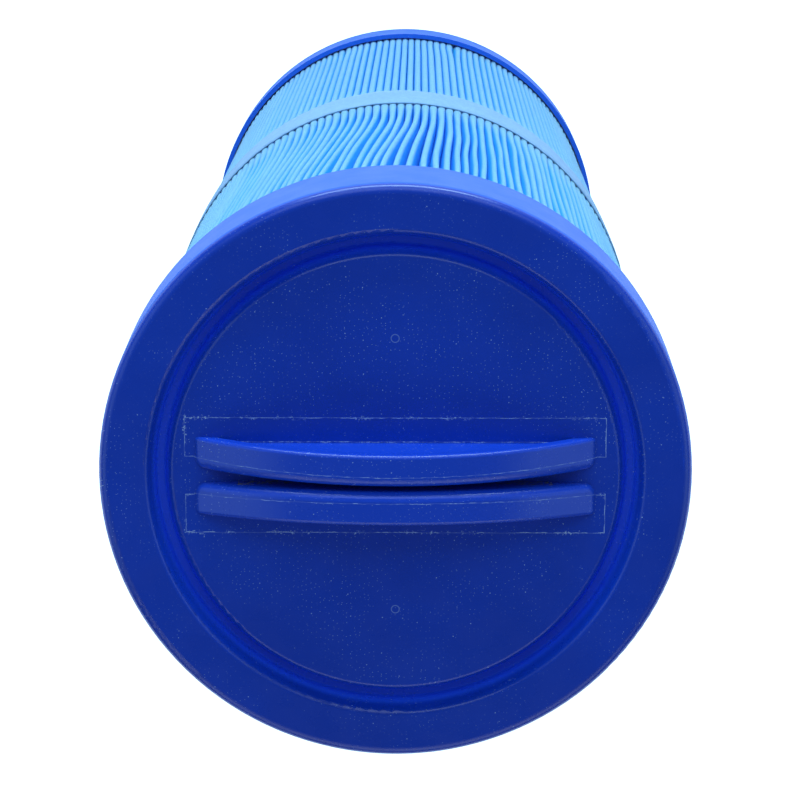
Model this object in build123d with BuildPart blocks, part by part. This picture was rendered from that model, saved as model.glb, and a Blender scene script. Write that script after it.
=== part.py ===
from build123d import *
import os
from math import hypot

# Spa filter cartridge: a pleated cloth cylinder bonded between a handled top cap and a bottom cap
# with a male pipe thread. Millimetres. +Z runs up the axis, the origin is at the centre of the
# spigot's end, and the handle's lips run along X.

# ---------------------------------------------------------------- driving dimensions
body_length = 338.2  # outer face of the bottom cap to the rim of the top cap
media_radius = 61.0  # over the pleat tips
band_from_rim = 163.0  # rim to the strap's middle
band_width = 26.5
band_thickness = 0.8
band_overlap_angle = 26.0  # of arc, where the strap is glued onto itself

skirt_wall = 2.4  # top cap, at the skirt's open edge
skirt_draft = 0.4  # the skirt narrows by this towards the rim
skirt_height = 22.6
rim_land = 10.4  # flat of the rim, from its outer edge to the groove
rim_edge_fillet = 2.2
cap_wall = 2.4
disc_drop = 2.0  # the central disc lies this far below the rim
groove_mouth = 4.8
groove_root = 1.9
groove_depth = 6.5
groove_edge_fillet = 1.1
groove_root_fillet = 0.6

handle_margin = 5.2  # lip's end to the disc's edge
handle_height = 12.3  # above the disc, at the middle of the arch
handle_end_height = 0.2
lip_thickness = 2.6
lip_inner_middle = 0.65  # slot side of a lip, from the cap's middle plane
lip_inner_end = 1.6
lip_outer_middle = 7.6
lip_outer_end = 8.55
lip_corner_radius = 2.6
lip_slot_fillet = 1.8
lip_outer_fillet = 0.8
web_base = 7.3
web_top = 6.3
web_end_margin = 3.4  # a web stops short of its lip's end

top_potting_depth = 14.0  # rim to the potting's face
bottom_potting_depth = 15.5  # bottom cap's outer face to the potting's face

bottom_skirt_wall = 1.4
bottom_cap_height = 18.0
bottom_edge_fillet = 1.4
bottom_rim_land = 10.4
bottom_recess_depth = 1.2
bottom_recess_draft = 0.8

spigot_length = 25.4  # below the bottom cap's outer face
thread_radius = 24.13  # over the crests, 1-1/2 inch pipe thread
thread_pitch = 25.4 / 11.5
thread_length = 19.0
thread_height = 1.4
thread_crest = 0.5
thread_foot = 2.0  # width of a ridge where it meets the wall
thread_sink = 0.3  # the ridge's foot lies this far inside the wall
nipple_wall = 3.23  # bore to the thread's root
spigot_end_chamfer = 1.2
hub_engagement = 9.6  # how far the nipple is cemented into the hub
hub_stop = 2.0  # lip that the nipple's end meets
neck_wall = 2.9  # round the socket that takes the core
shoulder_step = 4.5  # the shoulder outside the cap, beyond the neck
shoulder_height = 3.2
shoulder_edge_chamfer = 0.8
flange_step = 9.0  # the flange inside the cap, beyond the neck
flange_thickness = 3.6

core_radius = 28.4
core_wall = 2.6
core_sections = 3
core_joint_length = 6.0
core_embed = 5.0  # how far the core's top end sits in the potting
window_columns = 12
window_rows = 8
window_height = 7.5
window_width = 9.6
window_corner_radius = 1.5

# ---------------------------------------------------------------- clearances
media_clearance = 0.3  # pleat tips to the caps' walls
band_clearance = 0.1  # pleat tips to the strap
core_clearance = 0.4  # pleat roots to the core
joint_clearance = 0.1  # plug joints of the core, and the nipple in its hub

# ---------------------------------------------------------------- worked out from those
rim_z = spigot_length + body_length
disc_z = rim_z - disc_drop
top_potting_z = rim_z - top_potting_depth
bottom_potting_z = spigot_length + bottom_potting_depth
skirt_bore = media_radius + media_clearance
skirt_radius = skirt_bore + skirt_wall
rim_radius = skirt_radius - skirt_draft
groove_mouth_radius = rim_radius - rim_land
disc_radius = groove_mouth_radius - groove_mouth
groove_outer_radius = groove_mouth_radius - (groove_mouth - groove_root) / 2
groove_inner_radius = groove_outer_radius - groove_root
handle_half_length = disc_radius - handle_margin
web_half_length = handle_half_length - web_end_margin
bottom_cap_radius = skirt_bore + bottom_skirt_wall
recess_radius = bottom_cap_radius - bottom_rim_land
recess_z = spigot_length + bottom_recess_depth
core_bore = core_radius - core_wall
joint_radius = core_bore + core_wall / 2
neck_radius = joint_radius + neck_wall
shoulder_radius = neck_radius + shoulder_step
flange_radius = neck_radius + flange_step
flange_z = spigot_length + cap_wall
flange_top_z = flange_z + flange_thickness
hub_z = spigot_length - shoulder_height
nipple_top_z = hub_z + hub_engagement
socket_z = nipple_top_z + hub_stop
core_z = socket_z + core_joint_length + joint_clearance
core_top_z = top_potting_z + core_embed
section_pitch = (core_top_z - core_z) / core_sections
handle_top_z = disc_z + handle_height
handle_foot_z = disc_z - cap_wall / 2  # lips and webs start inside the cap's wall
handle_rise = handle_height - handle_end_height
arch_radius = (handle_half_length**2 + handle_rise**2) / (2 * handle_rise)
arch_centre_z = handle_top_z - arch_radius
band_z = rim_z - band_from_rim
band_bore = media_radius + band_clearance
thread_root = thread_radius - thread_height
thread_start = thread_pitch / 2
outlet_radius = thread_root - nipple_wall
nipple_radius = thread_root + thread_height / 2

selection_tolerance = 0.02

# Section of the top cap's underside, from the skirt inwards, shared by the cap and its potting.
cap_underside = [
    (skirt_bore, rim_z - cap_wall),
    (groove_mouth_radius + cap_wall, rim_z - cap_wall),
    (groove_outer_radius + cap_wall, rim_z - groove_depth - cap_wall),
    (groove_inner_radius - cap_wall, rim_z - groove_depth - cap_wall),
    (disc_radius - cap_wall, disc_z - cap_wall),
    (0, disc_z - cap_wall),
]


def lip_edge(end, middle, side):
    """A bowed edge of a handle lip in plan, from -X to +X."""
    return (-handle_half_length, side * end), (0, side * middle), (handle_half_length, side * end)


def near(value, target):
    return abs(value - target) < selection_tolerance


# ---------------------------------------------------------------- handle, part of the top cap
with BuildPart() as lips:
    with BuildSketch(Plane.XZ) as arch_strip:
        with Locations((0, arch_centre_z)):
            Circle(arch_radius)
            Circle(arch_radius - lip_thickness, mode=Mode.SUBTRACT)
        with Locations((0, handle_top_z)):
            Rectangle(2 * arch_radius, 2 * (handle_height + lip_thickness), mode=Mode.INTERSECT)
    extrude(amount=2 * lip_outer_end, both=True)
    with BuildSketch(Plane.XY.offset(handle_foot_z)) as lip_plan:
        for side in (1, -1):
            with BuildLine():
                inner = ThreePointArc(*lip_edge(lip_inner_end, lip_inner_middle, side))
                outer = ThreePointArc(*lip_edge(lip_outer_end, lip_outer_middle, side))
                Line(inner @ 0, outer @ 0)
                Line(inner @ 1, outer @ 1)
            make_face()
        inner_corners = lip_plan.vertices().filter_by(lambda v: near(abs(v.Y), lip_inner_end))
        fillet(inner_corners, radius=lip_corner_radius)
    extrude(amount=2 * handle_height, mode=Mode.INTERSECT)
    tops = lips.edges().filter_by(
        lambda e: all(near(hypot(v.X, v.Z - arch_centre_z), arch_radius) for v in e.vertices())
    )
    outer_tops = tops.filter_by(lambda e: near(abs((e @ 0.5).Y), lip_outer_middle))
    fillet(tops - outer_tops, radius=lip_slot_fillet)
    outer_tops = lips.edges().filter_by(
        lambda e: near(abs((e @ 0.5).Y), lip_outer_middle) and near((e @ 0.5).Z, handle_top_z)
    )
    fillet(outer_tops, radius=lip_outer_fillet)

with BuildPart() as webs:
    with BuildSketch(Plane.XZ) as under_arch:
        with Locations((0, arch_centre_z)):
            Circle(arch_radius - (lip_slot_fillet + lip_thickness) / 2)
        with Locations((0, handle_foot_z + handle_height)):
            Rectangle(2 * web_half_length, 2 * handle_height, mode=Mode.INTERSECT)
    extrude(amount=web_base, both=True)
    with BuildSketch(Plane.YZ) as web_section:
        with BuildLine():
            Polyline(
                (-web_base, handle_foot_z),
                (web_base, handle_foot_z),
                (web_top, handle_top_z),
                (-web_top, handle_top_z),
                close=True,
            )
        make_face()
    extrude(amount=web_half_length, both=True, mode=Mode.INTERSECT)
    with BuildSketch(Plane.XY.offset(disc_z)) as slot_plan:
        with BuildLine():
            left = ThreePointArc(*lip_edge(lip_inner_end, lip_inner_middle, 1))
            right = ThreePointArc(*lip_edge(lip_inner_end, lip_inner_middle, -1))
            Line(left @ 0, right @ 0)
            Line(left @ 1, right @ 1)
        make_face()
    extrude(amount=2 * handle_height, mode=Mode.SUBTRACT)

# ---------------------------------------------------------------- top cap
with BuildPart() as top_cap:
    with BuildSketch(Plane.XZ) as cap_section:
        with BuildLine():
            Polyline(
                (0, disc_z),
                (disc_radius, disc_z),
                (groove_inner_radius, rim_z - groove_depth),
                (groove_outer_radius, rim_z - groove_depth),
                (groove_mouth_radius, rim_z),
                (rim_radius, rim_z),
                (skirt_radius, rim_z - skirt_height),
                (skirt_bore, rim_z - skirt_height),
                *cap_underside,
                close=True,
            )
        make_face()
        rim_edge = cap_section.vertices().filter_by(lambda v: near(v.X, rim_radius))
        fillet(rim_edge, radius=rim_edge_fillet)
        mouths = cap_section.vertices().filter_by(
            lambda v: near(v.X, groove_mouth_radius) or near(v.X, disc_radius)
        )
        fillet(mouths, radius=groove_edge_fillet)
        roots = cap_section.vertices().filter_by(lambda v: near(v.Y, rim_z - groove_depth))
        fillet(roots, radius=groove_root_fillet)
    revolve(axis=Axis.Z)
    add(webs.part)
    add(lips.part)
top_cap.part.label = "top_cap"

# ---------------------------------------------------------------- potting
with BuildPart() as top_potting:
    with BuildSketch(Plane.XZ):
        with BuildLine():
            Polyline((0, top_potting_z), (skirt_bore, top_potting_z), *cap_underside, close=True)
        make_face()
    revolve(axis=Axis.Z)
    with BuildSketch(Plane.XY.offset(top_potting_z)):
        Circle(core_radius)
        Circle(core_bore, mode=Mode.SUBTRACT)
    extrude(amount=core_embed, mode=Mode.SUBTRACT)
top_potting.part.label = "top_potting"

with BuildPart() as bottom_potting:
    with BuildSketch(Plane.XZ):
        with BuildLine():
            Polyline(
                (neck_radius, flange_top_z),
                (flange_radius, flange_top_z),
                (flange_radius, flange_z),
                (skirt_bore, flange_z),
                (skirt_bore, bottom_potting_z),
                (core_radius + core_clearance, bottom_potting_z),
                (core_radius + core_clearance, core_z),
                (neck_radius, core_z),
                close=True,
            )
        make_face()
    revolve(axis=Axis.Z)
bottom_potting.part.label = "bottom_potting"

# ---------------------------------------------------------------- pleated cloth and its strap
with BuildPart() as pleated_media:
    with BuildSketch(Plane.XY.offset(bottom_potting_z)):
        Circle(media_radius)
        Circle(core_radius + core_clearance, mode=Mode.SUBTRACT)
    extrude(amount=top_potting_z - bottom_potting_z)
pleated_media.part.label = "pleated_media"

with BuildPart() as media_band:
    with BuildSketch(Plane.XY.offset(band_z - band_width / 2)):
        Circle(band_bore + band_thickness)
        Circle(band_bore, mode=Mode.SUBTRACT)
    extrude(amount=band_width)
    with BuildSketch(Plane.XZ.rotated((0, 0, 90 - band_overlap_angle / 2))):
        with Locations((band_bore + band_thickness, band_z)):
            Rectangle(band_thickness * 2, band_width)
    revolve(axis=Axis.Z, revolution_arc=band_overlap_angle)
media_band.part.label = "media_band"

# ---------------------------------------------------------------- core, moulded in equal sections
window_pitch = (section_pitch - 2 * core_joint_length) / window_rows
with BuildPart() as core_blank:
    with BuildSketch(Plane.XY):
        Circle(core_radius)
        Circle(core_bore, mode=Mode.SUBTRACT)
    extrude(amount=section_pitch)
    with BuildSketch(Plane.XY.offset(-core_joint_length)):
        Circle(joint_radius - joint_clearance)
        Circle(core_bore, mode=Mode.SUBTRACT)
    extrude(amount=core_joint_length)
    with BuildSketch(Plane.XY.offset(section_pitch - core_joint_length - joint_clearance)):
        Circle(joint_radius)
    extrude(amount=core_joint_length + joint_clearance, mode=Mode.SUBTRACT)
    for column in range(window_columns):
        around = Plane.XY.rotated((0, 0, 360 * column / window_columns))
        face = Plane(origin=around.x_dir * core_radius, x_dir=around.y_dir, z_dir=around.x_dir)
        with BuildSketch(face):
            with Locations((0, core_joint_length + window_rows * window_pitch / 2)):
                with GridLocations(window_width, window_pitch, 1, window_rows):
                    RectangleRounded(window_width, window_height, window_corner_radius)
        extrude(amount=2 * core_wall, both=True, mode=Mode.SUBTRACT)

core_parts = []
for number in range(core_sections):
    with BuildPart() as core_section:
        with Locations((0, 0, core_z + number * section_pitch)):
            add(core_blank.part)
    core_section.part.label = f"core_section_{number + 1}"
    core_parts.append(core_section.part)

# ---------------------------------------------------------------- outlet: hub and threaded nipple
with BuildPart() as outlet_hub:
    with BuildSketch(Plane.XZ):
        with BuildLine():
            Polyline(
                (nipple_radius + joint_clearance, hub_z),
                (shoulder_radius - shoulder_edge_chamfer, hub_z),
                (shoulder_radius, hub_z + shoulder_edge_chamfer),
                (shoulder_radius, recess_z),
                (neck_radius, recess_z),
                (neck_radius, flange_z),
                (flange_radius, flange_z),
                (flange_radius, flange_top_z),
                (neck_radius, flange_top_z),
                (neck_radius, core_z),
                (joint_radius, core_z),
                (joint_radius, socket_z),
                (outlet_radius, socket_z),
                (outlet_radius, nipple_top_z),
                (nipple_radius + joint_clearance, nipple_top_z),
                close=True,
            )
        make_face()
    revolve(axis=Axis.Z)
outlet_hub.part.label = "outlet_hub"

with BuildPart() as threaded_nipple:
    with BuildSketch(Plane.XZ):
        with BuildLine():
            Polyline(
                (outlet_radius, 0),
                (thread_root - spigot_end_chamfer, 0),
                (thread_root, spigot_end_chamfer),
                (thread_root, thread_length),
                (nipple_radius, thread_length + thread_height / 2),
                (nipple_radius, nipple_top_z),
                (outlet_radius, nipple_top_z),
                close=True,
            )
        make_face()
    revolve(axis=Axis.Z)
    with BuildLine() as thread_path:
        Helix(thread_pitch, thread_length - 3 * thread_start, thread_root, center=(0, 0, thread_start))
    with BuildSketch(Plane(thread_path.line @ 0, x_dir=(1, 0, 0), z_dir=thread_path.line % 0)) as ridge:
        with BuildLine():
            Polyline(
                (-thread_sink, -thread_foot / 2),
                (thread_height, -thread_crest / 2),
                (thread_height, thread_crest / 2),
                (-thread_sink, thread_foot / 2),
                close=True,
            )
        make_face()
    sweep(path=thread_path.line, is_frenet=True)
threaded_nipple.part.label = "threaded_nipple"

# ---------------------------------------------------------------- bottom cap
with BuildPart() as bottom_cap:
    with BuildSketch(Plane.XZ) as bottom_section:
        with BuildLine():
            Polyline(
                (neck_radius, recess_z),
                (recess_radius - bottom_recess_draft, recess_z),
                (recess_radius, spigot_length),
                (bottom_cap_radius, spigot_length),
                (bottom_cap_radius, spigot_length + bottom_cap_height),
                (skirt_bore, spigot_length + bottom_cap_height),
                (skirt_bore, flange_z),
                (neck_radius, flange_z),
                close=True,
            )
        make_face()
        outer_edge = bottom_section.vertices().filter_by(lambda v: near(v.X, bottom_cap_radius))
        fillet(outer_edge.sort_by(Axis.Y)[0], radius=bottom_edge_fillet)
    revolve(axis=Axis.Z)
bottom_cap.part.label = "bottom_cap"

# ---------------------------------------------------------------- files
os.makedirs("parts", exist_ok=True)
pieces = [top_cap.part, top_potting.part, pleated_media.part, media_band.part, *core_parts]
pieces += [bottom_potting.part, outlet_hub.part, threaded_nipple.part, bottom_cap.part]
for piece in pieces:
    export_step(piece, f"parts/{piece.label}.step")
    print(piece.label, len(piece.solids()), round(piece.volume), piece.is_valid)
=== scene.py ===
import math
import random

import bpy
import numpy as np
from mathutils import Matrix, Vector


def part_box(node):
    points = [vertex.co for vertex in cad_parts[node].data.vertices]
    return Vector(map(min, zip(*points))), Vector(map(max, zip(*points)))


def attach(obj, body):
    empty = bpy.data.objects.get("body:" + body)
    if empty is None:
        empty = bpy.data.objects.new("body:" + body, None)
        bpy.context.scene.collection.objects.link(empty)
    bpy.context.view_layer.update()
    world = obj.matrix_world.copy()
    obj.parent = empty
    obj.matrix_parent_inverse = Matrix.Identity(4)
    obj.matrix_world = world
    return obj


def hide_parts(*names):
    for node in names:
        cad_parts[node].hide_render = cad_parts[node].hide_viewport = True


# A pleated spa filter cartridge standing on its threaded outlet. Metres, in the CAD's frame:
# +Z up the axis, X along the grip's lips, the camera above on the -Y side.

MM = 0.001
SEED = 7

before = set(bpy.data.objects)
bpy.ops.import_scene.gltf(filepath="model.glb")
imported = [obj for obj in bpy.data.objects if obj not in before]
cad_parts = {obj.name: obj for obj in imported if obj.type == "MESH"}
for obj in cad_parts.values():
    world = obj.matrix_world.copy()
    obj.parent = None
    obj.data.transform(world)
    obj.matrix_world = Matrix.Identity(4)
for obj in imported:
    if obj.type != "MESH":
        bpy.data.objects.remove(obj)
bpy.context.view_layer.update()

# ------------------------------------------------------------------ places read from the frame
media_low, media_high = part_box("pleated_media")
band_low, band_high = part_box("media_band")

MEDIA_RADIUS = media_high.x
CORE_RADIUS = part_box("core_section_1")[1].x
SKIRT_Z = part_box("top_cap")[0].z
LOW_CAP_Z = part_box("bottom_cap")[1].z
BAND_Z = (band_low.z + band_high.z) / 2
BAND_HALF = (band_high.z - band_low.z) / 2
BAND_TOP = BAND_Z + BAND_HALF
BAND_FOOT = BAND_Z - BAND_HALF

# ------------------------------------------------------------------ top cap
SKIRT_HEIGHT = 22.6 * MM
DISC_DROP = 2.0 * MM
RIM_Z = SKIRT_Z + SKIRT_HEIGHT
DISC_Z = RIM_Z - DISC_DROP
FLASH_HALF_LENGTH = 44.9 * MM  # outline of the mould insert round each lip
FLASH_INNER = 4.2 * MM
FLASH_OUTER = 12.7 * MM
SEAM_MIDDLE = 2.83 * MM  # seam along the top of each lip
SEAM_END = 4.08 * MM
SEAM_HALF_LENGTH = 42.9 * MM
WEB_FOOT = 7.3 * MM
WEB_FOOT_HALF_LENGTH = 33.0 * MM
FLASH_HALF_WIDTH = 0.11 * MM  # of the raised lines
SEAM_HALF_WIDTH = 0.09 * MM
WEB_FOOT_HALF_WIDTH = 0.14 * MM
LINE_WANDER = 0.45 * MM
BURR_REACH = 0.70 * MM  # of the burrs along the insert's outline
EJECTOR_Y = 30.0 * MM
EJECTOR_RADIUS = 0.85 * MM
GRIP_HALF_WIDTH = 9.0 * MM
GROOVE_RADIUS = 54.0 * MM
SATIN_FROM_AXIS = 59.0 * MM  # the caps' side walls are satin, as the mould left them, and carry a painted sheen of paler blue
CRUMB_NEAR = 21.5 * MM  # crumbs of flash left in the slot between the lips
CRUMB_FAR = 33.5 * MM
CRUMB_REACH = 1.9 * MM
CRUMB_LOW = 0.2 * MM  # above the disc
CRUMB_HIGH = 3.2 * MM
LIP_FADE_LOW = 0.2 * MM  # painted light: the lips turn paler between these heights above the disc
LIP_FADE_HIGH = 1.0 * MM
GROOVE_FADE_HIGH = 2.2 * MM  # painted light: the groove turns paler between these depths below the rim, lifting its shade
GROOVE_FADE_LOW = 5.5 * MM
SATIN_FADE = 0.5 * MM
CAP_SATIN_DEPTH = 0.95 * MM  # below each cap's top face
LOW_CAP_SATIN_DEPTH = 0.1 * MM

# ------------------------------------------------------------------ cloth
PLEATS = 176
PITCH = 2 * math.pi / PLEATS
TIP_STEPS = 5
ROWS_BELOW = 16
ROWS_ACROSS = 6
ROWS_ABOVE = 36
TIP_MARGIN = 0.01 * MM
PRESSED_HEIGHT = 20 * MM  # the strap holds the pleats in over this height either side of it
STRAP_GRIP = 5 * MM  # and presses their tips flat this close to it
LOW_CAP_GRIP = 7 * MM  # as the lower cap's wall does
SQUASH = 0.6
FOLD_RADIUS = 0.68 * MM  # outside of a fold, above the strap
FOLD_RADIUS_LOW = 0.96 * MM  # and below it, where the pleats are packed evenly
VALLEY_DEPTH = 1.9 * MM
VALLEY_DEPTH_LOW = 0.6 * MM
VALLEY_GAP = 0.06 * MM
ROOT_CLEARANCE = 0.4 * MM
TIP_SETBACK = 0.26 * MM  # mean distance of free tips inside MEDIA_RADIUS
TIP_SLACK = 0.24 * MM  # random, either way
LOW_SLACK_LOSS = 0.7  # share of that slack lost below the strap
FOLD_SCATTER = 0.09  # random share of a fold's size, either way
FOLD_LIMIT = 0.47  # a fold's half width to the gap beside it, at most
CORE_FOLD_SHARE = 0.3  # of a pitch, half the flat of a fold at the core
LEAN = 1.6 * MM  # sideways lean of the tips at the cap
LEAN_MORE = 4.4 * MM  # gained over LEAN_MORE_SPAN degrees from LEAN_MORE_FROM
LEAN_MORE_FROM = -104.0
LEAN_MORE_SPAN = 14.0
LEAN_LESS = 2.4 * MM  # and lost again from LEAN_LESS_FROM
LEAN_LESS_FROM = -30.0
LEAN_LESS_SPAN = 60.0
LEAN_CLOSE_FROM = 120.0  # where the lean goes back to its first value, to close the ring
LEAN_CLOSE_SPAN = 60.0
LEAN_SCATTER = 0.5 * MM
LEAN_START = 0.10  # share of the way up where the lean starts
START_SCATTER = 0.08
LEAN_END = 0.95
ABOVE_END = 1.15  # the cloth goes on this far up inside the skirt, in the same share
LOW_DRIFT = 0.9 * MM  # slow and quick sideways wander at the lower end
LOW_JITTER = 0.12 * MM
# How many random values round the ring each of these draws.
LEAN_KNOTS = 22
START_KNOTS = 30
FOLD_KNOTS = 84
DRIFT_KNOTS = 14
JITTER_KNOTS = 110
# Waves of the tips above the strap: random values round the ring, size, half waves up the height.
WAVES = ((60, 0.34 * MM, 1.2), (88, 0.24 * MM, 2.6), (120, 0.13 * MM, 5.2))
LOW_GAP_REACH = 4.0  # pleats that share the squeeze of a gap by the lower cap
# Places where two pleats have sprung apart: angle, width at the cap, share of the way up where
# the gap starts, pleats that share the squeeze.
GAPS = (
    (-85.0, 1.5 * MM, 0.10, 5.0),
    (-80.4, 1.3 * MM, 0.45, 4.0),
    (-110.5, 0.7 * MM, 0.30, 4.0),
    (-117.0, 0.8 * MM, 0.55, 4.0),
    (-97.0, 0.5 * MM, 0.60, 3.0),
    (-60.0, 0.8 * MM, 0.40, 4.0),
    (20.0, 1.2 * MM, 0.30, 5.0),
    (75.0, 0.9 * MM, 0.50, 4.0),
    (150.0, 1.3 * MM, 0.25, 5.0),
    (-160.0, 0.9 * MM, 0.45, 4.0),
)
# The same by the lower cap: angle, width, height over which it closes.
LOW_GAPS = (
    (-104.6, 0.9 * MM, 42 * MM),
    (-70.0, 0.5 * MM, 30 * MM),
    (60.0, 0.8 * MM, 45 * MM),
    (170.0, 0.7 * MM, 35 * MM),
)

# ------------------------------------------------------------------ strap
STRAP_OVERLAP = math.radians(26)
STRAP_THICKNESS = 0.45 * MM
STRAP_TURN = 2 * math.pi + STRAP_OVERLAP
STRAP_STEPS = 420
STRAP_HEIGHT = 2 * BAND_HALF * 0.985
STRAP_STEP_RISE = 1.12  # how far the overlap lifts, in thicknesses
STRAP_STEP_TURN = 0.04  # radians over which it lifts
STRAP_FILL = 0.9  # pressed thickness to free thickness
STRAP_RIPPLE = 0.08 * MM
STRAP_EDGE_WANDER = 0.30 * MM
RIPPLE_KNOTS = 190  # random values along the strap
EDGE_KNOTS = 60
# Its section: share of the thickness outwards, share of the height upwards.
STRAP_SECTION = ((0.0, -0.5), (0.0, 0.5), (0.75, 0.5), (1.0, 0.485), (1.04, 0.25),
                 (1.06, 0.0), (1.04, -0.25), (1.0, -0.485), (0.75, -0.5))

# ------------------------------------------------------------------ colours, linear
CAP_DEEP = (0.0040, 0.0390, 0.435, 1.0)
CAP_PALE = (0.0050, 0.0455, 0.490, 1.0)
LOW_CAP_GLOW_BLUE = (0.03, 0.17, 0.85, 1.0)  # painted light: the lower cap, part of the way, for the bright cloth's light spread over it
# painted light on the lips, paler than the disc
LIP_LIGHT_BLUE = (0.0072, 0.054, 0.58, 1.0)
# painted light deeper in the groove, lifting its shade
GROOVE_LIGHT_BLUE = (0.020, 0.115, 0.95, 1.0)
# painted sheen: the caps' side walls are painted this paler blue for the lights' reflection on them
SIDE_WALL_SHEEN_BLUE = (0.005, 0.095, 0.62, 1.0)
DUST_PALE = (0.40, 0.56, 0.92, 1.0)
FLASH_PALE = (0.42, 0.60, 0.95, 1.0)
CRUMB_GREY = (0.20, 0.19, 0.17, 1.0)
CLOTH_DEEP = (0.370, 0.76, 0.98, 1.0)
CLOTH_PALE = (0.440, 0.83, 1.00, 1.0)
CLOTH_CREASE_SHADE = (0.04, 0.60, 1.0, 1.0)  # painted shade deep between the pleats, a saturated blue like light come through the cloth
CLOTH_GLOW = (0.05, 0.46, 1.0, 1.0)  # light that has come through
STRAP_DEEP = (0.185, 0.330, 0.58, 1.0)
STRAP_PALE = (0.220, 0.38, 0.64, 1.0)
CORE_DEEP = (0.62, 0.64, 0.66, 1.0)
CORE_PALE = (0.72, 0.73, 0.74, 1.0)
RESIN_DEEP = (0.35, 0.42, 0.55, 1.0)
RESIN_PALE = (0.42, 0.48, 0.6, 1.0)
FLOOR_DEEP = (0.40, 0.40, 0.41, 1.0)
FLOOR_PALE = (0.44, 0.44, 0.44, 1.0)
FLOOR_GLOW = (0.70, 0.88, 1.0, 1.0)

FLOOR_GLOW_STRENGTH = 1.35
CLOTH_GLOW_SHARE = 0.52
CREASE_SHADE_FROM = 0.4 * MM  # depth below the tips over which the painted shade between the pleats comes in
CREASE_SHADE_TO = 1.3 * MM

# ------------------------------------------------------------------ texture scales, per metre
FLOOR_MOTTLE = 6.0
MOTTLE = 30.0
RIPPLE = 45.0
CLOUD = 55.0
DUST_PATCH = 60.0
SCUFF = 130.0
COARSE_DUST = 260.0
BURR_PATCH = 140.0
PLAIN_MOTTLE = 90.0
PLAIN_SCUFF = 300.0
PLAIN_GRAIN = 800.0
WOBBLE = 420.0
SEAM_BREAKS = 500.0
GRAIN = 900.0
FINE_DUST = 1050.0
CRUMB = 1300.0
BURR = 2200.0
FUZZ = 2600.0


# ================================================================== node helpers
class Nodes:
    """Short calls for building one material's node tree."""

    def __init__(self, name):
        self.material = bpy.data.materials.new(name)
        self.material.use_nodes = True
        self.tree = self.material.node_tree
        self.shader = self.tree.nodes["Principled BSDF"]
        self.place = self.new("ShaderNodeTexCoord").outputs["Object"]

    def new(self, kind, **settings):
        """Adds a node."""
        node = self.tree.nodes.new(kind)
        for key, value in settings.items():
            setattr(node, key, value)
        return node

    def put(self, node, values):
        """Gives a node's inputs their values, or links them."""
        for key, value in values.items():
            if isinstance(value, bpy.types.NodeSocket):
                self.tree.links.new(value, node.inputs[key])
            else:
                node.inputs[key].default_value = value

    def xyz(self):
        """The three object coordinates."""
        node = self.new("ShaderNodeSeparateXYZ")
        self.put(node, {0: self.place})
        return node.outputs

    def off_axis(self):
        """Distance from the part's axis."""
        x, y = self.xyz()[:2]
        return self.math("SQRT", self.math("ADD", self.product(x, x), self.product(y, y)))

    def mapped(self, scale):
        """Object coordinates, scaled along each axis."""
        node = self.new("ShaderNodeMapping")
        self.put(node, {"Vector": self.place, "Scale": scale})
        return node.outputs[0]

    def noise(self, scale, detail=3.0, roughness=0.5, vector=None):
        node = self.new("ShaderNodeTexNoise")
        self.put(node, {"Vector": vector or self.place, "Scale": scale, "Detail": detail,
                        "Roughness": roughness})
        return node.outputs["Fac"]

    def skewed(self):
        """A flat pair of coordinates that works on level and on upright faces."""
        x, y, z = self.xyz()
        node = self.new("ShaderNodeCombineXYZ")
        self.put(node, {0: self.math("MULTIPLY_ADD", z, 0.8, x), 1: self.math("MULTIPLY_ADD", z, 0.6, y)})
        return node.outputs[0]

    def cells(self, scale):
        """Distance to the nearest cell's centre, and a random number for that cell."""
        node = self.new("ShaderNodeTexVoronoi", voronoi_dimensions="2D")
        self.put(node, {"Vector": self.skewed(), "Scale": scale})
        split = self.new("ShaderNodeSeparateColor")
        self.put(split, {0: node.outputs["Color"]})
        return node.outputs["Distance"], split.outputs[0]

    def ramp(self, value, low, high, to_low=0.0, to_high=1.0):
        """Smooth change from to_low to to_high as value goes from low to high."""
        node = self.new("ShaderNodeMapRange", interpolation_type="SMOOTHSTEP")
        self.put(node, {"Value": value, "From Min": low, "From Max": high,
                        "To Min": to_low, "To Max": to_high})
        return node.outputs[0]

    def math(self, operation, a, b=0.0, c=0.0):
        node = self.new("ShaderNodeMath", operation=operation)
        self.put(node, {0: a, 1: b, 2: c})
        return node.outputs[0]

    def product(self, *values):
        result = values[0]
        for value in values[1:]:
            result = self.math("MULTIPLY", result, value)
        return result

    def most(self, *values):
        result = values[0]
        for value in values[1:]:
            result = self.math("MAXIMUM", result, value)
        return result

    def mix(self, factor, a, b):
        node = self.new("ShaderNodeMix", data_type="RGBA")
        self.put(node, {0: factor, 6: a, 7: b})
        return node.outputs[2]

    def bump(self, height, strength, distance, normal=None):
        node = self.new("ShaderNodeBump")
        self.put(node, {"Height": height, "Strength": strength, "Distance": distance})
        if normal is not None:
            self.put(node, {"Normal": normal})
        return node.outputs[0]


# ================================================================== materials
def dust(n):
    """Pale specks: a few larger ones and a fine scatter, thicker in patches."""
    far, pick = n.cells(COARSE_DUST)
    large = n.product(n.ramp(far, 0.036, 0.012), n.ramp(pick, 0.50, 0.95))
    far, pick = n.cells(FINE_DUST)
    small = n.product(n.ramp(far, 0.095, 0.03), n.ramp(pick, 0.35, 0.85), 0.95)
    patch = n.ramp(n.noise(DUST_PATCH, 3.0), 0.38, 0.64, 0.12, 1.0)
    return n.most(n.product(small, patch), n.product(large, n.ramp(patch, 0.1, 0.5, 0.4, 1.0)))


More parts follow.
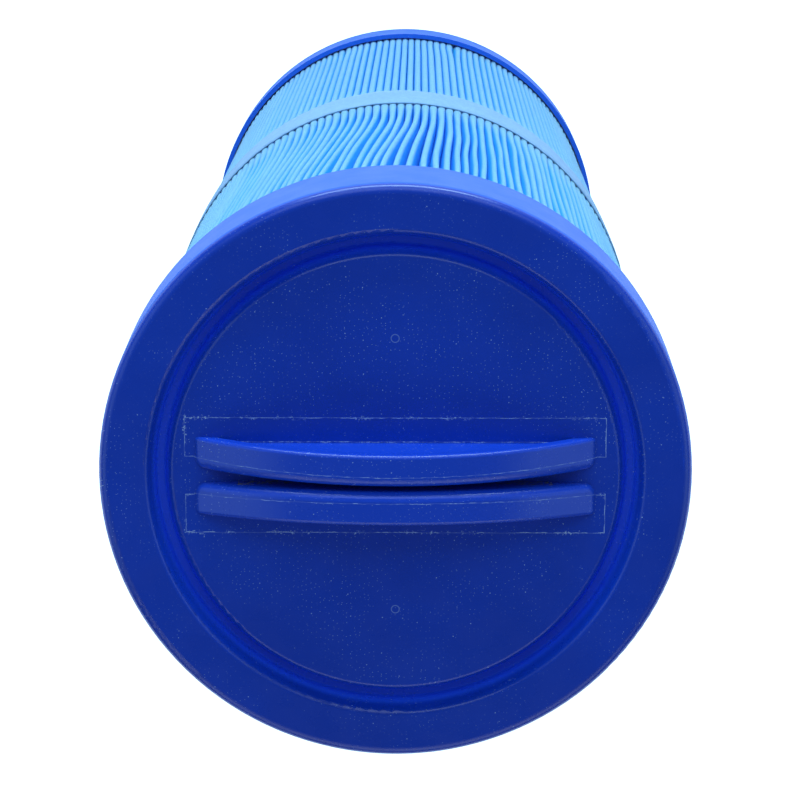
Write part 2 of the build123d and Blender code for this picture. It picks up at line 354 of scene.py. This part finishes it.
def line(n, distance, half_width, broken_scale=WOBBLE, low=0.40, high=0.68):
    """A thin raised line where distance is near nought, broken up along its length."""
    wobble = n.math("MULTIPLY", n.math("SUBTRACT", n.noise(WOBBLE, 3.0), 0.5), LINE_WANDER)
    near = n.ramp(n.math("ABSOLUTE", n.math("ADD", distance, wobble)), half_width, half_width * 0.3)
    return n.product(near, n.ramp(n.noise(broken_scale, 3.0, 0.65), low, high, 0.16, 1.0))


def grip_marks(n):
    """Mould marks round the grip: insert outline, seam on each lip, web foot, ejector pins."""
    x, y, z = n.xyz()
    x = n.math("ABSOLUTE", x)
    y = n.math("ABSOLUTE", y)
    middle = (FLASH_INNER + FLASH_OUTER) / 2
    aside = n.math("SUBTRACT", x, FLASH_HALF_LENGTH)
    across = n.math("SUBTRACT", n.math("ABSOLUTE", n.math("SUBTRACT", y, middle)), FLASH_OUTER - middle)
    outline = n.math("MAXIMUM", aside, across)
    beside_lip = n.math("MAXIMUM", n.math("GREATER_THAN", x, SEAM_HALF_LENGTH),
                        n.math("GREATER_THAN", y, middle))
    flash = n.product(line(n, outline, FLASH_HALF_WIDTH), beside_lip)
    burr_zone = n.ramp(n.math("ABSOLUTE", outline), BURR_REACH, 0.1 * MM)
    burrs = n.product(n.ramp(n.noise(BURR, 2.0, 0.6), 0.56, 0.66), burr_zone, beside_lip,
                      n.ramp(n.noise(BURR_PATCH, 2.0), 0.50, 0.60))
    bow = n.math("MULTIPLY", n.math("MULTIPLY", x, x), (SEAM_END - SEAM_MIDDLE) / SEAM_HALF_LENGTH**2)
    off_seam = n.math("SUBTRACT", n.math("SUBTRACT", y, SEAM_MIDDLE), bow)
    seam = n.product(line(n, off_seam, SEAM_HALF_WIDTH, SEAM_BREAKS, 0.42, 0.70),
                     n.math("LESS_THAN", x, SEAM_HALF_LENGTH))
    off_foot = n.math("SUBTRACT", y, WEB_FOOT + 0.1 * MM)
    foot = n.product(line(n, off_foot, WEB_FOOT_HALF_WIDTH, GRAIN, 0.45, 0.6),
                     n.math("LESS_THAN", x, WEB_FOOT_HALF_LENGTH),
                     n.math("LESS_THAN", z, DISC_Z + 0.5 * MM))
    from_pin = n.math("SUBTRACT", y, EJECTOR_Y)
    pin = n.math("SQRT", n.math("ADD", n.product(x, x), n.product(from_pin, from_pin)))
    off_ring = n.math("ABSOLUTE", n.math("SUBTRACT", pin, EJECTOR_RADIUS))
    pin_mark = n.product(n.ramp(off_ring, 0.16 * MM, 0.02 * MM), 0.35)
    crumb_zone = n.product(n.math("LESS_THAN", y, CRUMB_REACH), n.math("GREATER_THAN", x, CRUMB_NEAR),
                           n.math("LESS_THAN", x, CRUMB_FAR), n.math("LESS_THAN", z, DISC_Z + CRUMB_HIGH),
                           n.math("GREATER_THAN", z, DISC_Z + CRUMB_LOW))
    crumbs = n.product(crumb_zone, n.ramp(n.noise(CRUMB, 3.0, 0.7), 0.50, 0.56))
    return n.most(flash, burrs, seam, foot, pin_mark), crumbs


def lip_and_groove(n):
    """Where the cap is painted paler, as painted light: on the thin lips, which show brighter than the
    disc, and deeper in the groove, to lift its shade.
    """
    x, y, z = n.xyz()
    # painted light: the lips show paler than the disc beside them
    lip_light_mask = n.product(n.ramp(z, DISC_Z + LIP_FADE_LOW, DISC_Z + LIP_FADE_HIGH),
                        n.math("LESS_THAN", n.math("ABSOLUTE", y), GRIP_HALF_WIDTH),
                        n.math("LESS_THAN", n.math("ABSOLUTE", x), FLASH_HALF_LENGTH))
    # painted light: paler deeper in the groove, lifting its shade
    groove_light_mask = n.product(n.ramp(z, RIM_Z - GROOVE_FADE_HIGH, RIM_Z - GROOVE_FADE_LOW),
                          n.math("LESS_THAN", n.off_axis(), GROOVE_RADIUS))
    return lip_light_mask, groove_light_mask


def moulded_blue(name, marked=False, satin_below=None, paler=0.0, gloss=0.5, sheen_share=1.0):
    """Semi-gloss moulded plastic: faint flow mottle, moulding grain, dust and fine scuffs.

    marked adds the grip's mould marks. Side walls turn satin below the height satin_below, and
    there take a painted sheen, a paler blue, by the share given last.
    """
    n = Nodes(name)
    colour = n.mix(n.ramp(n.noise(MOTTLE, 4.0, 0.6), 0.3, 0.7), CAP_DEEP, CAP_PALE)
    # painted light: turned paler by that share, for the bright cloth's light spread over the lower cap
    colour = n.mix(paler, colour, LOW_CAP_GLOW_BLUE)
    specks = dust(n)
    if marked:
        # painted light: paler lips, and a paler groove that lifts its shade
        thin, groove_light = lip_and_groove(n)
        colour = n.mix(thin, colour, LIP_LIGHT_BLUE)
        # painted light in the groove
        colour = n.mix(groove_light, colour, GROOVE_LIGHT_BLUE)
    colour = n.mix(n.product(specks, 0.9), colour, DUST_PALE)
    rough = n.ramp(n.noise(SCUFF, 4.0, 0.6), 0.30, 0.70, 0.24, 0.32)
    height = n.math("ADD", n.product(n.noise(GRAIN, 2.0), 0.08), n.product(specks, 0.25))
    if marked:
        lines, crumbs = grip_marks(n)
        colour = n.mix(n.product(lines, 0.75), colour, FLASH_PALE)
        colour = n.mix(crumbs, colour, CRUMB_GREY)
        height = n.math("ADD", height, n.product(n.most(lines, crumbs), 0.8))
    if satin_below is not None:
        satin = n.product(n.ramp(n.xyz()[2], satin_below, satin_below - SATIN_FADE),
                          n.math("GREATER_THAN", n.off_axis(), SATIN_FROM_AXIS))
        rough = n.math("ADD", rough, n.product(satin, 0.34))
        # painted sheen: the side walls are mixed towards a paler blue
        colour = n.mix(n.product(satin, sheen_share), colour, SIDE_WALL_SHEEN_BLUE)
    n.put(n.shader, {"Base Color": colour, "Roughness": rough, "IOR": 1.46, "Specular IOR Level": gloss})
    rippled = n.bump(n.noise(RIPPLE, 2.0), 0.012, 2.0 * MM)
    n.put(n.shader, {"Normal": n.bump(height, 0.25, 0.1 * MM, rippled)})
    return n.material


def filter_cloth(name, deep, pale):
    """Spunbond polyester: matted fibres, soft mottling, a light fuzz, and painted shade deep between the
    pleats.
    """
    n = Nodes(name)
    fibre = n.noise(GRAIN, 4.0, 0.65, vector=n.mapped((1.0, 1.0, 0.35)))
    fine = n.noise(FUZZ, 3.0, 0.6)
    shade = n.math("ADD", n.product(fibre, 0.6), n.product(n.noise(CLOUD, 3.0), 0.4))
    colour = n.mix(n.ramp(shade, 0.35, 0.65), deep, pale)
    # painted shade: deep between the pleats the cloth turns a darker, saturated blue
    crease_shade = n.ramp(n.off_axis(), MEDIA_RADIUS - CREASE_SHADE_FROM, MEDIA_RADIUS - CREASE_SHADE_TO)
    colour = n.mix(crease_shade, colour, CLOTH_CREASE_SHADE)
    n.put(n.shader, {"Base Color": colour, "Roughness": n.ramp(fine, 0.3, 0.7, 0.80, 0.95),
                     "Sheen Weight": 0.04, "Sheen Roughness": 0.5, "Specular IOR Level": 0.15})
    n.put(n.shader, {"Normal": n.bump(fine, 0.25, 0.15 * MM, n.bump(fibre, 0.35, 0.4 * MM))})
    return n.material


def glow_through(material, colour, share):
    """Lets light through a thin sheet: part of its shading is a translucent layer."""
    tree = material.node_tree
    shader = tree.nodes["Principled BSDF"]
    through = tree.nodes.new("ShaderNodeBsdfTranslucent")
    through.inputs["Color"].default_value = colour
    both = tree.nodes.new("ShaderNodeMixShader")
    both.inputs[0].default_value = share
    tree.links.new(shader.outputs[0], both.inputs[1])
    tree.links.new(through.outputs[0], both.inputs[2])
    tree.links.new(both.outputs[0], tree.nodes["Material Output"].inputs["Surface"])


def matt_plastic(name, deep, pale):
    """Plain matt moulding or cast resin, faintly mottled."""
    n = Nodes(name)
    colour = n.mix(n.ramp(n.noise(PLAIN_MOTTLE, 4.0), 0.3, 0.7), deep, pale)
    n.put(n.shader, {"Base Color": colour, "Roughness": n.ramp(n.noise(PLAIN_SCUFF), 0.3, 0.7, 0.45, 0.6)})
    n.put(n.shader, {"Normal": n.bump(n.noise(PLAIN_GRAIN, 3.0), 0.1, 0.2 * MM)})
    return n.material


def floor_paint(name):
    """Pale studio floor that glows a little, so that it stays white round the object."""
    n = Nodes(name)
    colour = n.mix(n.noise(FLOOR_MOTTLE, 4.0), FLOOR_DEEP, FLOOR_PALE)
    n.put(n.shader, {"Base Color": colour, "Roughness": 0.8, "Specular IOR Level": 0.1,
                     "Emission Color": FLOOR_GLOW, "Emission Strength": FLOOR_GLOW_STRENGTH})
    return n.material


# ================================================================== pleated cloth
def smooth_noise(rng, count, knots):
    """A closed smooth random curve of count values, between -1 and 1, from knots random values."""
    values = np.array([rng.uniform(-1, 1) for _ in range(knots)])
    along = np.arange(count) / count * knots
    before = along.astype(int) % knots
    share = eased(along - along.astype(int))
    return values[before] * (1 - share) + values[(before + 1) % knots] * share


def eased(t):
    """Smooth rise from 0 to 1 as t goes from 0 to 1."""
    t = np.clip(t, 0.0, 1.0)
    return t * t * (3 - 2 * t)


def pleat_rows():
    """Heights of the cloth's rows: close together where the pleats wave, above the band."""
    below = np.linspace(media_low.z, BAND_FOOT, ROWS_BELOW, endpoint=False)
    across = np.linspace(BAND_FOOT, BAND_TOP, ROWS_ACROSS, endpoint=False)
    above = np.linspace(BAND_TOP, media_high.z, ROWS_ABOVE)
    return np.concatenate([below, across, above])


def pleat_angles():
    """Each pleat's angle round the axis, in degrees from -180 to 180."""
    return (np.degrees(np.arange(PLEATS) * PITCH) + 180) % 360 - 180


def gap_push(angles, angle, width, reach):
    """How far a gap of this width at this angle pushes each pleat aside, over reach pleats."""
    places = ((angles - angle + 180) % 360 - 180) / math.degrees(PITCH)
    return np.sign(places) * np.exp(-(np.abs(places) - 0.5).clip(0) / reach) * width / 2


def pleat_sway(rng, rows):
    """Sideways shift of each pleat's tip at each row, in metres round the circumference."""
    angles = pleat_angles()
    above = np.clip((rows - BAND_TOP) / (SKIRT_Z - BAND_TOP), 0, ABOVE_END)
    gained = LEAN_MORE * eased((angles - LEAN_MORE_FROM) / LEAN_MORE_SPAN)
    lost = LEAN_LESS * eased((angles - LEAN_LESS_FROM) / LEAN_LESS_SPAN)
    closed = eased((angles - LEAN_CLOSE_FROM) / LEAN_CLOSE_SPAN)
    lean = LEAN + (gained - lost) * (1 - closed)
    lean = lean + LEAN_SCATTER * smooth_noise(rng, PLEATS, LEAN_KNOTS)
    start = LEAN_START + START_SCATTER * smooth_noise(rng, PLEATS, START_KNOTS)
    rise = eased((above[None, :] - start[:, None]) / (LEAN_END - start[:, None]))
    shift = lean[:, None] * rise
    for knots, size, waves in WAVES:
        side = smooth_noise(rng, PLEATS, knots)
        phase = smooth_noise(rng, PLEATS, knots) * math.pi
        wave = np.sin(above[None, :] * math.pi * waves + phase[:, None])
        shift = shift + size * side[:, None] * wave * eased(above * 3)[None, :]
    for angle, width, begin, reach in GAPS:
        push = gap_push(angles, angle, width, reach)
        shift = shift + push[:, None] * eased((above - begin) / (1 - begin))[None, :]
    for angle, width, height in LOW_GAPS:
        push = gap_push(angles, angle, width, LOW_GAP_REACH)
        shift = shift + push[:, None] * eased((LOW_CAP_Z + height - rows) / height)[None, :]
    below = np.clip((BAND_FOOT - rows) / (BAND_FOOT - media_low.z), 0, 1)
    drift = LOW_DRIFT * smooth_noise(rng, PLEATS, DRIFT_KNOTS)
    drift = drift + LOW_JITTER * smooth_noise(rng, PLEATS, JITTER_KNOTS)
    return shift + drift[:, None] * np.sin(below * math.pi / 2)[None, :] ** 2


def pleated_cloth():
    """The folded sheet: each pleat has a rounded tip, flanks that meet its neighbours' a little way
    in, and a fold at the core."""
    rng = random.Random(SEED)
    rows = pleat_rows()
    centre = (np.arange(PLEATS) * PITCH)[:, None] + pleat_sway(rng, rows) / MEDIA_RADIUS
    gap = (np.roll(centre, -1, axis=0) - centre) % (2 * math.pi)
    gap_before = np.roll(gap, 1, axis=0)
    low = 1 - eased((rows - BAND_TOP) / PRESSED_HEIGHT)[None, :]
    pressed = 1 - eased((np.abs(rows - BAND_Z) - BAND_HALF) / PRESSED_HEIGHT)[None, :]
    fold = (FOLD_RADIUS * (1 - low) + FOLD_RADIUS_LOW * low) * (
        1 + FOLD_SCATTER * smooth_noise(rng, PLEATS, FOLD_KNOTS)[:, None])
    fold = np.minimum(fold, FOLD_LIMIT * np.minimum(gap, gap_before) * MEDIA_RADIUS)
    at_strap = 1 - eased((np.abs(rows - BAND_Z) - BAND_HALF) / STRAP_GRIP)[None, :]
    at_low_cap = 1 - eased((rows - LOW_CAP_Z - MM) / LOW_CAP_GRIP)[None, :]
    pressed = np.maximum(pressed, at_low_cap)
    squashed = 1 - SQUASH * np.maximum(at_strap, at_low_cap)
    depth = (VALLEY_DEPTH * (1 - low) + VALLEY_DEPTH_LOW * low) * (gap / PITCH) ** 2 * squashed ** 2
    slack = TIP_SLACK * smooth_noise(rng, PLEATS, FOLD_KNOTS)[:, None] * (1 - LOW_SLACK_LOSS * low)
    tip = MEDIA_RADIUS - TIP_MARGIN - (TIP_SETBACK + slack) * (1 - pressed)
    root = CORE_RADIUS + ROOT_CLEARANCE
    valley = centre + gap / 2
    touch = VALLEY_GAP / MEDIA_RADIUS
    next_tip = np.roll(tip + 0 * rows, -1, axis=0)
    fold_height = fold * squashed
    inner = (tip + next_tip) / 2 - fold_height - depth
    core_fold = (np.arange(PLEATS) * PITCH + PITCH / 2)[:, None] + 0 * rows
    columns = []
    for i in range(PLEATS):
        columns.append((inner[i - 1], valley[i - 1] + touch))
        for step in range(TIP_STEPS):
            turn = math.pi * step / (TIP_STEPS - 1)
            columns.append((tip[i] - fold_height[i] * (1 - math.sin(turn)),
                            centre[i] - math.cos(turn) * fold[i] / MEDIA_RADIUS))
        columns.append((inner[i], valley[i] - touch))
        columns.append((root + 0 * rows, core_fold[i] - PITCH * CORE_FOLD_SHARE))
        columns.append((root + 0 * rows, core_fold[i] + PITCH * CORE_FOLD_SHARE))
    grid = np.empty((len(columns), len(rows), 3))
    for place, (radius, angle) in enumerate(columns):
        grid[place, :, 0] = radius * np.cos(angle)
        grid[place, :, 1] = radius * np.sin(angle)
        grid[place, :, 2] = rows
    steps = np.linalg.norm(np.roll(grid, -1, axis=0) - grid, axis=2)
    return grid_mesh("pleated_cloth", grid, closed=True), float(steps.sum(axis=0).mean())


def grid_mesh(name, grid, closed):
    """A quad mesh over a grid of columns by rows; closed joins the last column to the first."""
    columns, rows = grid.shape[:2]
    index = np.arange(columns * rows).reshape(columns, rows)
    last = index if closed else index[:-1]
    after = np.roll(index, -1, axis=0) if closed else index[1:]
    quads = np.stack([last[:, :-1], after[:, :-1], after[:, 1:], last[:, 1:]], axis=-1).reshape(-1, 4)
    mesh = bpy.data.meshes.new(name)
    mesh.from_pydata(grid.reshape(-1, 3).tolist(), [], quads.tolist())
    mesh.shade_smooth()
    piece = bpy.data.objects.new(name, mesh)
    bpy.context.collection.objects.link(piece)
    return piece


# ================================================================== strap
def strap():
    """The cloth strap: one turn and its glued overlap, with soft edges, at the back."""
    rng = random.Random(SEED + 1)
    start = math.pi / 2 - STRAP_OVERLAP / 2
    ripple = smooth_noise(rng, STRAP_STEPS + 1, RIPPLE_KNOTS) * STRAP_RIPPLE
    edge = smooth_noise(rng, STRAP_STEPS + 1, EDGE_KNOTS) * STRAP_EDGE_WANDER
    points = []
    for place in range(STRAP_STEPS + 1):
        turned = STRAP_TURN * place / STRAP_STEPS
        angle = start + turned
        past_start = turned - (2 * math.pi - STRAP_STEP_TURN)
        lifted = STRAP_THICKNESS * STRAP_STEP_RISE * float(eased(past_start / STRAP_STEP_TURN))
        for out, up in STRAP_SECTION:
            radius = MEDIA_RADIUS + lifted + (STRAP_THICKNESS + ripple[place]) * out * STRAP_FILL
            z = BAND_Z + up * (STRAP_HEIGHT + edge[place])
            points.append((radius * math.cos(angle), radius * math.sin(angle), z))
    count = len(STRAP_SECTION)
    faces = [list(range(count)), list(range(STRAP_STEPS * count, (STRAP_STEPS + 1) * count))[::-1]]
    for place in range(STRAP_STEPS):
        here = place * count
        for point in range(count):
            after = (point + 1) % count
            faces.append([here + point, here + count + point, here + count + after, here + after])
    mesh = bpy.data.meshes.new("strap")
    mesh.from_pydata(points, [], faces)
    mesh.shade_smooth()
    piece = bpy.data.objects.new("strap", mesh)
    bpy.context.collection.objects.link(piece)
    return piece


# ================================================================== build
cap_paint = moulded_blue("cap_blue", marked=True, satin_below=RIM_Z - CAP_SATIN_DEPTH)
# the lower cap is painted paler for the bright cloth's light over it, and its side wall takes a little
# painted sheen
low_cap_paint = moulded_blue("lower_cap_blue", satin_below=LOW_CAP_Z - LOW_CAP_SATIN_DEPTH,
                             paler=0.6, gloss=0.2, sheen_share=0.2)
outlet_paint = moulded_blue("outlet_blue")
cloth_paint = filter_cloth("cloth_blue", CLOTH_DEEP, CLOTH_PALE)
strap_paint = filter_cloth("strap_blue", STRAP_DEEP, STRAP_PALE)
glow_through(cloth_paint, CLOTH_GLOW, CLOTH_GLOW_SHARE)
core_paint = matt_plastic("core_white", CORE_DEEP, CORE_PALE)
resin_paint = matt_plastic("resin_grey", RESIN_DEEP, RESIN_PALE)

looks = {
    "top_cap": cap_paint,
    "bottom_cap": low_cap_paint,
    "outlet_hub": outlet_paint,
    "threaded_nipple": outlet_paint,
    "core_section_1": core_paint,
    "core_section_2": core_paint,
    "core_section_3": core_paint,
    "top_potting": resin_paint,
    "bottom_potting": resin_paint,
}
for node, paint in looks.items():
    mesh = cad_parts[node].data
    mesh.materials.clear()
    mesh.materials.append(paint)

cloth, cloth_length = pleated_cloth()
cloth.data.materials.append(cloth_paint)
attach(cloth, "root")
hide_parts("pleated_media")

band = strap()
band.data.materials.append(strap_paint)
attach(band, "root")
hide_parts("media_band")

# ------------------------------------------------------------------ stage
FLOOR_HALF = 3.0
floor_mesh = bpy.data.meshes.new("floor")
floor_mesh.from_pydata([(-FLOOR_HALF, -FLOOR_HALF, 0), (FLOOR_HALF, -FLOOR_HALF, 0),
                        (FLOOR_HALF, FLOOR_HALF, 0), (-FLOOR_HALF, FLOOR_HALF, 0)], [], [(0, 1, 2, 3)])
floor = bpy.data.objects.new("floor", floor_mesh)
bpy.context.collection.objects.link(floor)
floor.data.materials.append(floor_paint("floor_white"))


LIT = Vector((0.0, 0.0, 0.30))  # the point the lights face
FRONT_TINT = (0.68, 0.90, 1.0)
STRIP_TINT = (0.60, 0.90, 1.0)
SIDE_TINT = (0.62, 0.95, 1.0)
BACK_TINT = (0.88, 0.96, 1.0)


def panel(name, place, size, power, colour):
    """A soft rectangular studio light, power in watts."""
    lamp = bpy.data.lights.new(name, "AREA")
    lamp.shape = "RECTANGLE"
    lamp.size, lamp.size_y = size
    lamp.energy = power
    lamp.color = colour
    holder = bpy.data.objects.new(name, lamp)
    holder.location = place
    aim = LIT - Vector(place)
    holder.rotation_euler = aim.to_track_quat("-Z", "Y").to_euler()
    bpy.context.collection.objects.link(holder)


panel("front_softbox", (0.0, -0.76, 1.00), size=(1.0, 0.5), power=3.1, colour=FRONT_TINT)
panel("front_strip", (0.0, -1.0, 0.46), size=(0.8, 0.14), power=9.5, colour=STRIP_TINT)
panel("left_softbox", (-0.85, 0.0, 0.88), size=(1.3, 0.62), power=2.1, colour=SIDE_TINT)
panel("right_softbox", (0.85, 0.0, 0.88), size=(1.3, 0.62), power=2.1, colour=SIDE_TINT)
panel("back_fill", (0.0, 0.90, 0.95), size=(1.4, 0.6), power=3.6, colour=BACK_TINT)

WORLD_TINT = (0.9, 0.95, 1.0, 1.0)
WORLD_STRENGTH = 0.10

world = bpy.data.worlds.new("studio")
world.use_nodes = True
backdrop = world.node_tree.nodes["Background"]
backdrop.inputs["Color"].default_value = WORLD_TINT
backdrop.inputs["Strength"].default_value = WORLD_STRENGTH
bpy.context.scene.world = world
bpy.context.scene.view_settings.view_transform = "Standard"

# ------------------------------------------------------------------ camera
SENSOR_WIDTH = 36.0  # millimetres, as is LENS
LENS = 113.69
CAMERA_PLACE = Vector((-5.52 * MM, -144.79 * MM, RIM_Z + 518.17 * MM))
LOOKS_ALONG = Vector((0.0084, 0.2392, -0.9709))
UP_IN_VIEW = Vector((0.0021, -0.9710, -0.2391))

camera_data = bpy.data.cameras.new("camera")
camera_data.sensor_width = SENSOR_WIDTH
camera_data.lens = LENS
camera_data.clip_start = 0.05
camera = bpy.data.objects.new("camera", camera_data)
bpy.context.collection.objects.link(camera)
forward = LOOKS_ALONG.normalized()
right = forward.cross(UP_IN_VIEW).normalized()
turn = Matrix((right, right.cross(forward), -forward)).transposed()
camera.matrix_world = Matrix.Translation(CAMERA_PLACE) @ turn.to_4x4()
bpy.context.scene.camera = camera
